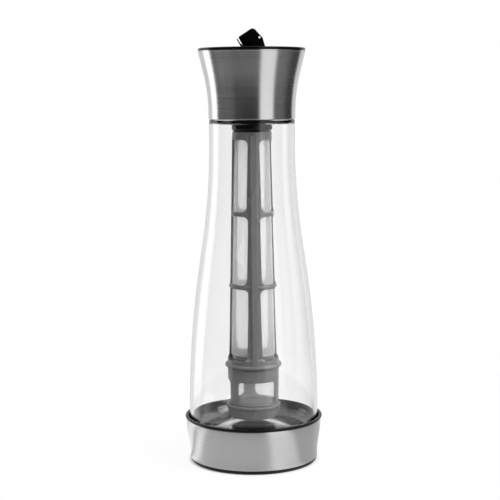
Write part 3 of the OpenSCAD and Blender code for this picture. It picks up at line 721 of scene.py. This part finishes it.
class FilterSettings(PropertyGroup):
    """Grey filter frame, its gasket and its mesh."""
    top_radius: length("Top radius", 14.8, "Outer radius of the tube at its top")
    low_radius: length("Low radius", 18.6, "Outer radius of the tube at the foot of its windows")
    wall: length("Wall", 1.5, "Wall of the tube")
    top_band: length("Top band", 5.7, "Height of the solid band above the windows")
    top_window: length("Top windows", 53.7, "Height of the top row of windows")
    mid_window: length("Middle windows", 51.4, "Height of the middle row of windows")
    low_window: length("Low windows", 52.1, "Height of the low row of windows")
    cross_band: length("Cross bands", 3.3, "Height of the bands between the rows")
    hub: length("Hub radius", 19.4, "Radius of the hub below the windows")
    flange: length("Flange radius", 21.5, "Radius of the flange at the hub's foot")
    flange_height: length("Flange", 2.6, "Thickness of the flange")
    rib: length("Ribs", 8.6, "Width of the ribs between the windows")
    corner: length("Window corners", 4.0, "Corner radius of the windows")
    foot_drop: length("Foot drop", 2.6, "How far the low windows reach down into the hub")
    sill: length("Sill", 2.0, "Height of the inner sill behind the foot of the low windows")
    mesh_gap: length("Mesh gap", 1.2, "From the tube's inner face to the inner sill")
    turn: slant("Turn", 4, "Angle of the front rib from straight ahead")


def spine(sections):
    """Raised spine of a rib. A section is (height, distance out to its face, depth, width)."""
    z, out, depth, width = sections[0]
    select_none()
    bpy.ops.mesh.primitive_plane_add(size=1)
    piece = bpy.context.active_object
    bpy.ops.object.mode_set(mode="EDIT")
    bpy.ops.transform.resize(value=(width * MM, depth * MM, 1))
    bpy.ops.transform.translate(value=(0, -(out - depth / 2) * MM, z * MM))
    for (z0, out0, depth0, width0), (z1, out1, depth1, width1) in zip(sections, sections[1:]):
        middle = Vector((0, -(out1 - depth1 / 2), z1)) * MM
        step = middle - Vector((0, -(out0 - depth0 / 2), z0)) * MM
        bpy.ops.mesh.extrude_region_move(TRANSFORM_OT_translate={"value": step})
        bpy.ops.transform.resize(value=(width1 / width0, depth1 / depth0, 1), center_override=middle)
    return eased(smoothed(piece), 0.45, 3, 50)


class COLDBREW_OT_filter(Operator):
    """Models the filter: windowed grey tube with spines, hub and flange, and its black gasket"""
    bl_idname = "coldbrew.filter"
    bl_label = "Filter"

    def execute(self, context):
        grey = sizes_of("filter")
        low, spigot_top, _ = measure("filter_frame")
        tube_top = measure("filter_gasket")[0] - 0.1
        wall, hub_r, flange_r, band = grey.wall, grey.hub, grey.flange, grey.cross_band
        top_r, low_r, round_r = grey.top_radius, grey.low_radius, grey.corner
        row_top = tube_top - grey.top_band
        rows = []
        for height in (grey.top_window, grey.mid_window, grey.low_window):
            rows.append((row_top - height, height))
            row_top -= height + band
        window_low, window_h = rows[-1]

        def tube_r(z):
            return top_r + (low_r - top_r) * (tube_top - z) / (tube_top - window_low)

        spigot_r, bore_r, hub_top, flange_top = 12.4, hub_r - 2.2, window_low - 1.6, low + grey.flange_height
        neck_r = spigot_r - 1.6
        body = turned("grey_filter_frame", rounded([
            (neck_r, spigot_top, 0.4), (spigot_r, spigot_top, 0.4), (spigot_r, tube_top, 0),
            (top_r - 0.1, tube_top, 0.6), (low_r, window_low, 3), (hub_r, hub_top, 1.2), (hub_r, flange_top, 0.6),
            (flange_r, flange_top, 1.0), (flange_r, low, 1.0), (bore_r, low, 0.3), (bore_r, window_low - 1, 0),
            (low_r - wall, window_low + 1, 0), (top_r - wall, tube_top - 2.2, 0), (neck_r, tube_top - 1.4, 0)],
            6, closed=True), 180)
        openings = []
        for row_low, height in rows:
            middle_r = tube_r(row_low + height / 2) - wall / 2
            width = 2 * middle_r * math.sin(math.radians(60) - math.asin(grey.rib / 2 / middle_r))
            drop = grey.foot_drop if row_low == window_low else 0
            openings.append((row_low - drop, height + drop, width, round_r, round_r))
        cut(body, windows("openings", openings, grey.turn + 60))
        eased(body, 0.4)
        proud, hub_proud, depth = 0.9, 0.8, 1.6
        spines = three_round(spine([
            (tube_top - 2.6, top_r + proud, depth, 5.3), (window_low, low_r + proud, depth, 4.4),
            (window_low - 1.8, hub_r + hub_proud, depth, 4.3),
            (low + grey.flange_height * 0.6, hub_r + hub_proud, depth, 4.2)]), grey.turn)
        bead_low = window_low + window_h
        bead_top = bead_low + band
        bead_r = tube_r(bead_low + band / 2)
        bead = turned("bead", rounded([
            (bead_r - 0.6, bead_low + 0.5, 0), (bead_r + 0.7, bead_low + 0.6, 0.6),
            (bead_r + 0.7, bead_top - 0.6, 0.6), (bead_r - 0.6, bead_top - 0.5, 0)], 5, closed=True), 144)
        sill_r = low_r - wall - grey.mesh_gap
        sill_z = window_low + grey.sill
        sill_top = sill_z + 7
        sill = turned("sill", rounded([
            (sill_r - 1.0, hub_top, 0), (sill_r, hub_top, 0), (sill_r - 0.6, sill_top, 0.3),
            (sill_r - 1.6, sill_top, 0.3)], 4, closed=True), 144)
        cut(sill, windows("notches", [(sill_z, window_h, width - 1.0, round_r, round_r)], grey.turn + 60))
        smoothed(select_only(sill))
        body = joined("grey_filter_frame", [body, *spines, bead, sill])
        place(body, "filter", "plastic_grey", "grey_polypropylene", "filter_frame")

        gasket_low, gasket_top, gasket_r = measure("filter_gasket")
        bore_r = 12.5
        gasket = turned("black_gasket", rounded([
            (bore_r, gasket_low, 0), (gasket_r - 1.4, gasket_low, 0.5), (gasket_r, gasket_low + 1.7, 0.8),
            (gasket_r, gasket_top - 1.6, 0.8), (gasket_r - 0.8, gasket_top, 0.5), (bore_r, gasket_top, 0)],
            6, closed=True))
        place(gasket, "filter", "silicone_black", "gloss_black_silicone", "filter_gasket")
        finish_nodes(mesh_sleeve="woven_nylon")
        return {"FINISHED"}


class CageSettings(PropertyGroup):
    """Grey cage and foot cap below the filter."""
    radius: length("Radius", 19.5, "Outer radius of the cage")
    wall: length("Wall", 1.5, "Wall of the cage")
    band: length("Band", 9.8, "Height of the solid band above the windows")
    sill: length("Sill", 1.6, "Height of the sill below the windows")
    window_height: length("Window height", 16.9, "Height of the windows")
    window_width: length("Window width", 27.3, "Width of the windows")
    low_corner: length("Low corners", 3.6, "Radius of the windows' lower corners")
    top_corner: length("Top corners", 2.4, "Radius of the windows' upper corners")
    turn: slant("Turn", 10, "Angle of the front window from straight ahead")


class COLDBREW_OT_cage(Operator):
    """Models the cage with its three windows, and the foot cap"""
    bl_idname = "coldbrew.cage"
    bl_label = "Cage"

    def execute(self, context):
        cage = sizes_of("cage")
        skirt_z, spigot_z, _ = measure("filter_cage")
        foot_low, foot_top, foot_r = measure("foot_cap")
        radius, wall = cage.radius, cage.wall
        window_z = foot_top + cage.sill
        top = window_z + cage.window_height + cage.band
        spigot_r, skirt_r, seam, taper = 17.15, radius - 1.7, 0.1, 0.3
        neck_r, bore_r, seam_z = spigot_r - 1.6, skirt_r - 1.3, foot_top + seam
        body = turned("grey_cage", rounded([
            (neck_r, spigot_z, 0.3), (spigot_r, spigot_z, 0.3), (spigot_r, top, 0), (radius, top, 0.35),
            (radius - taper, seam_z, 0.3), (skirt_r, seam_z, 0), (skirt_r, skirt_z, 0.2), (bore_r, skirt_z, 0.2),
            (bore_r, seam_z, 0), (radius - wall - taper, foot_top + 1.2, 0), (radius - wall, top - 2.2, 0),
            (neck_r, top - 1.4, 0)], 5, closed=True), 180)
        cut(body, windows("openings", [
            (window_z, cage.window_height, cage.window_width, cage.low_corner, cage.top_corner)], cage.turn))
        eased(body, 0.4)
        place(body, "cage", "plastic_grey", "grey_polypropylene", "filter_cage")

        top_r, floor_z = foot_r - 0.7, foot_low + 2
        foot = turned("grey_foot_cap", [(0, foot_low)] + rounded([
            (0, foot_low, 0), (top_r - 0.6, foot_low, 1.1), (top_r, foot_top - 2.5, 0.3),
            (foot_r, foot_top - 2.0, 0.6), (foot_r, foot_top, 0.7), (skirt_r + seam, foot_top, 0.2),
            (skirt_r + seam, floor_z, 0.8), (0, floor_z, 0)], 6)[1:])
        place(foot, "cage", "plastic_grey", "grey_polypropylene", "foot_cap")
        finish_nodes(cage_screen="open_woven_nylon")
        return {"FINISHED"}


# ---- stage

class StageSettings(PropertyGroup):
    """Floor and camera."""
    camera_distance: length("Camera distance", 985, "From the object's axis")
    camera_height: length("Camera height", 279.7, "Above the floor")
    camera_pitch: slant("Camera pitch", 6.88, "Angle below level")
    camera_roll: slant("Camera roll", -0.34, "Turn about the view")
    lens: FloatProperty(name="Lens", description="Focal length in millimetres", default=94.46)
    shift: FloatProperty(name="Shift", description="Sideways shift of the frame", default=-0.0054)
    floor_size: length("Floor size", 6000, "Side of the floor")


SENSOR_WIDTH = 36  # millimetres

# Bands of the studio: from, to (degrees from the camera to the right), light level, softness of the edges
STUDIO_BANDS = (
    (-180, -131, 0.78, 3),
    (-130, -104, 1.75, 3),
    (-102, -48, 0.11, 10),
    (-48, 21, 0.03, 12),
    (21, 58, 1.10, 5),
    (58, 96, 0.15, 12),
    (96, 129, 0.05, 10),
    (131, 180, 0.80, 3),
)
OVERHEAD_LEVEL = 1.2
# Light on surfaces that scatter it: from the camera's side, and from the white backdrop
PLAIN_LEVELS = (0.24, 1.0)
# Level of the painted light that the table gives off where gloss sees it close to the object, and what its bands of
# painted light add to that or take from it, in the same form
TABLE_LEVEL = 0.82
TABLE_BANDS = (
    (-92, -75, 0.75, 5),
    (52, 100, -0.12, 10),
)
# Share of real light and shadow that the floor shows, which elsewhere is white: under the foot and round it
FOOT_SHADE, ROUND_SHADE = 0.75, 0.07
# Distances from the axis (m) where the first goes over into the second, and where that fades to nothing
FOOT_EDGE, ROUND_EDGE = (0.0478, 0.0510), (0.12, 0.40)

# Soft lamps: name, degrees from the camera to the right, elevation, distance (m), side (m), power (W)
LAMPS = (
    ("key_lamp", 62, 34, 1.5, 1.0, 20),
    ("fill_lamp", -40, 30, 1.6, 1.2, 6),
    ("top_lamp", 10, 82, 1.4, 1.2, 6),
)
LAMP_TARGET = Vector((0, 0, 0.16))


def band_levels(tree, axes, bands):
    """Light level in a level direction, as the sum of bands."""
    front = add_node(tree, "Math", {0: axes["Y"], 1: -1.0}, operation="MULTIPLY")
    turn = add_node(tree, "Math", {0: axes["X"], 1: front}, operation="ARCTAN2")
    azimuth = add_node(tree, "Math", {0: turn, 1: 180 / math.pi}, operation="MULTIPLY")
    total = 0.0
    for start, stop, level, edge in bands:
        rise = add_node(tree, "MapRange", {
            "Value": azimuth, "From Min": start - edge, "From Max": start + edge}, **EASED_ENDS)
        fall = add_node(tree, "MapRange", {
            "Value": azimuth, "From Min": stop - edge, "From Max": stop + edge, "To Min": level, "To Max": 0.0,
        }, **EASED_ENDS)
        total = add_node(tree, "Math", {0: rise, 1: fall, 2: total}, operation="MULTIPLY_ADD")
    return total


def light_paths(tree):
    """Two factors: 1 where a ray comes straight from the camera or through glass, and 1 where it has left a
    surface that scatters light."""
    path = add_node(tree, "LightPath").outputs
    bounces = add_node(tree, "Math", {0: path["Diffuse Depth"], 1: path["Glossy Depth"]}, operation="ADD")
    seen = add_node(tree, "Math", {0: bounces, 1: 0.5}, operation="LESS_THAN")
    scattered = add_node(tree, "Math", {0: path["Diffuse Depth"], 1: 0.5}, operation="GREATER_THAN")
    return seen, scattered


def light_studio():
    """World: white where it is seen directly or through glass, and otherwise a studio of soft bands."""
    world = bpy.data.worlds.new("studio")
    bpy.context.scene.world = world
    world.use_nodes = True
    world.cycles.sampling_method = "NONE"
    tree = world.node_tree
    tree.nodes.clear()
    direction = add_node(tree, "TexCoord").outputs["Generated"]
    axes = add_node(tree, "SeparateXYZ", {"Vector": direction}).outputs
    # The light overhead lies to the left and right, above the bands
    aside = add_node(tree, "Math", {0: axes["X"]}, operation="ABSOLUTE")
    beside = add_node(tree, "MapRange", {"Value": aside, "From Min": 0.25, "From Max": 0.50}, **EASED_ENDS)
    overhead = add_node(tree, "MapRange", {
        "Value": axes["Z"], "From Min": 0.45, "From Max": 0.68, "To Max": beside}, **EASED_ENDS)
    dome = add_node(tree, "Mix", {
        "Factor": overhead, "A": band_levels(tree, axes, STUDIO_BANDS), "B": OVERHEAD_LEVEL})
    plain = add_node(tree, "MapRange", {
        "Value": axes["Y"], "From Min": -0.2, "From Max": 0.9, "To Min": PLAIN_LEVELS[0],
        "To Max": PLAIN_LEVELS[1]}, **EASED_ENDS)
    seen, scattered = light_paths(tree)
    level = add_node(tree, "Mix", {"Factor": scattered, "A": dome, "B": plain})
    strength = add_node(tree, "Mix", {"Factor": seen, "A": level, "B": 1.0})
    add_node(tree, "OutputWorld", {
        "Surface": add_node(tree, "Background", {"Color": WHITE, "Strength": strength})})


def studio_floor(tree):
    """White studio floor. It shows white round the object and keeps a faint shadow of it. Gloss sees it as a pale
    table near the object that gives off painted light, with a painted bright band and a painted darker band, which
    goes over into the studio's bands further out."""
    place = add_node(tree, "TexCoord").outputs["Object"]
    axes = add_node(tree, "SeparateXYZ", {"Vector": place}).outputs
    reach = add_node(tree, "VectorMath", {0: place}, operation="LENGTH")
    wide = add_node(tree, "MapRange", {
        "Value": reach, "From Min": ROUND_EDGE[0], "From Max": ROUND_EDGE[1], "To Min": ROUND_SHADE, "To Max": 0.0,
    }, **EASED_ENDS)
    share = add_node(tree, "MapRange", {
        "Value": reach, "From Min": FOOT_EDGE[0], "From Max": FOOT_EDGE[1], "To Min": FOOT_SHADE, "To Max": wide,
    }, **EASED_ENDS)
    lit = add_node(tree, "BsdfDiffuse", {"Color": rgba(linear("#f2f2f2"))})
    white = add_node(tree, "Emission", {"Color": WHITE, "Strength": 1.0})
    shown = add_node(tree, "MixShader", {0: share, 1: white, 2: lit})
    far = add_node(tree, "MapRange", {
        "Value": reach, "From Min": 0.08, "From Max": 0.90, "To Min": 0.3, "To Max": 1.0}, **EASED_ENDS)
    near = add_node(tree, "Math", {0: band_levels(tree, axes, TABLE_BANDS), 1: TABLE_LEVEL}, operation="ADD")
    table = add_node(tree, "Mix", {"Factor": far, "A": near, "B": band_levels(tree, axes, STUDIO_BANDS)})
    # Painted light: where gloss sees the floor, it glows at these levels, though no lamp is there
    glow_in_gloss = add_node(tree, "Emission", {"Color": WHITE, "Strength": table})
    seen, scattered = light_paths(tree)
    other = add_node(tree, "MixShader", {0: scattered, 1: glow_in_gloss, 2: lit})
    return add_node(tree, "MixShader", {0: seen, 1: other, 2: shown})


def add_softbox(name, azimuth, elevation, distance, size, watts):
    """Square area lamp that looks at the middle of the object."""
    a, e = math.radians(azimuth), math.radians(elevation)
    away = Vector((math.sin(a) * math.cos(e), -math.cos(a) * math.cos(e), math.sin(e)))
    bpy.ops.object.light_add(type="AREA", location=LAMP_TARGET + away * distance)
    lamp = bpy.context.active_object
    lamp.name = name
    lamp.rotation_euler = (-away).to_track_quat("-Z", "Y").to_euler()
    lamp.data.size = size
    lamp.data.energy = watts
    lamp.visible_glossy = False
    lamp.visible_camera = False


class COLDBREW_OT_stage(Operator):
    """Adds the floor, the studio light and the camera"""
    bl_idname = "coldbrew.stage"
    bl_label = "Stage"

    def execute(self, context):
        stage = context.scene.cold_brew_stage
        select_none()
        bpy.ops.mesh.primitive_plane_add(size=stage.floor_size, location=(0, 0, 0))
        floor = context.active_object
        floor.name = "studio_floor"
        material = new_material("studio_floor", studio_floor)
        material.cycles.emission_sampling = "NONE"
        floor.data.materials.append(material)
        light_studio()
        for lamp in LAMPS:
            add_softbox(*lamp)
        bpy.ops.object.camera_add(location=(0, -stage.camera_distance, stage.camera_height))
        camera = context.active_object
        camera.name = "photo_camera"
        camera.data.sensor_width = SENSOR_WIDTH
        camera.data.lens = stage.lens
        camera.data.shift_x = stage.shift
        pitch = Matrix.Rotation(math.pi / 2 - stage.camera_pitch, 4, "X")
        roll = Matrix.Rotation(stage.camera_roll, 4, "Z")
        camera.rotation_euler = (pitch @ roll).to_euler()
        context.scene.camera = camera
        context.scene.view_settings.view_transform = "Standard"
        return {"FINISHED"}


class COLDBREW_PT_panel(Panel):
    """Lists the steps that build the coffee maker, each with its sizes"""
    bl_idname = "COLDBREW_PT_panel"
    bl_label = "Cold Brew"
    bl_space_type = "VIEW_3D"
    bl_region_type = "UI"
    bl_category = "Cold Brew"

    def draw(self, context):
        for step in STEPS:
            self.layout.operator(step.bl_idname)
        for name, group in SETTINGS.items():
            self.layout.label(text=group.__doc__)
            settings = getattr(context.scene, name)
            for setting in group.__annotations__:
                self.layout.prop(settings, setting)


STEPS = (COLDBREW_OT_base, COLDBREW_OT_carafe, COLDBREW_OT_lid, COLDBREW_OT_cap, COLDBREW_OT_filter,
         COLDBREW_OT_cage, COLDBREW_OT_stage)
SETTINGS = {
    "cold_brew_finish": FinishSettings, "cold_brew_base": BaseSettings, "cold_brew_carafe": CarafeSettings,
    "cold_brew_lid": LidSettings, "cold_brew_cap": CapSettings, "cold_brew_filter": FilterSettings,
    "cold_brew_cage": CageSettings, "cold_brew_stage": StageSettings,
}
CLASSES = (*SETTINGS.values(), *STEPS, COLDBREW_PT_panel)


def register():
    for cls in CLASSES:
        bpy.utils.register_class(cls)
    for name, group in SETTINGS.items():
        setattr(bpy.types.Scene, name, PointerProperty(type=group))


def unregister():
    for name in SETTINGS:
        delattr(bpy.types.Scene, name)
    for cls in reversed(CLASSES):
        bpy.utils.unregister_class(cls)


def main():
    """Builds everything in order."""
    register()
    for step in STEPS:
        group, name = step.bl_idname.split(".")
        getattr(getattr(bpy.ops, group), name)()


if __name__ == "__main__":
    main()
